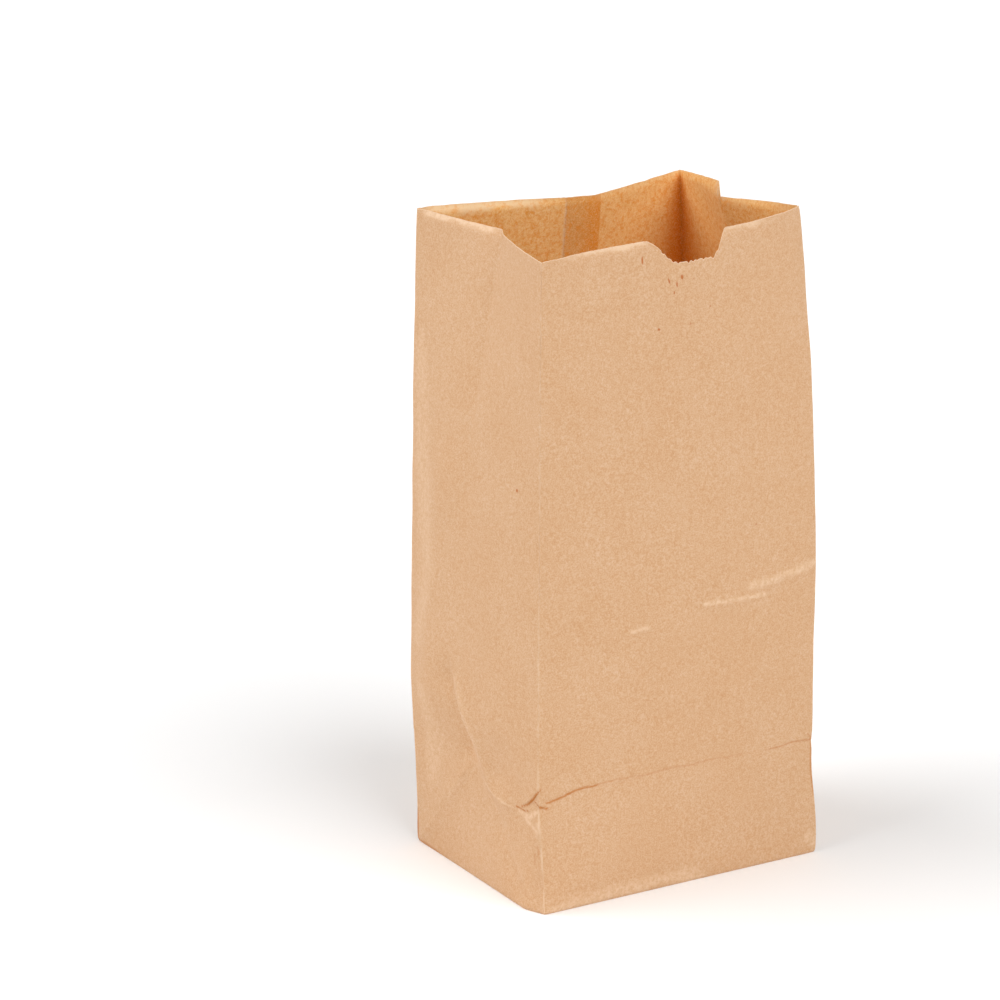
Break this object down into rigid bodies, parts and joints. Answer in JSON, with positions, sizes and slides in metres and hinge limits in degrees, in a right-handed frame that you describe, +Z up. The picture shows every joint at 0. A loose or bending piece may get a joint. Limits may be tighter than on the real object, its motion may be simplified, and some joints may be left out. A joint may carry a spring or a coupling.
{
  "type": "paper lunch bag",
  "caption": "Flat-bottomed brown kraft paper bag with folded gusset sides and a pinked mouth with a thumb notch, standing open.",
  "frame": {"origin": "middle of the base, on the surface the bag stands on", "axes": "+Z up; -Y is the wide front panel with the thumb notch, +Y the wide back panel with the glued seam, -X and +X the gusseted sides"},
  "size_m": [0.1418, 0.1033, 0.2691],
  "materials": {
    "kraft_paper": "unbleached natural kraft, matt"
  },
  "bodies": {
    "root": {"paper_bag": "kraft_paper"}
  },
  "joints": []
}
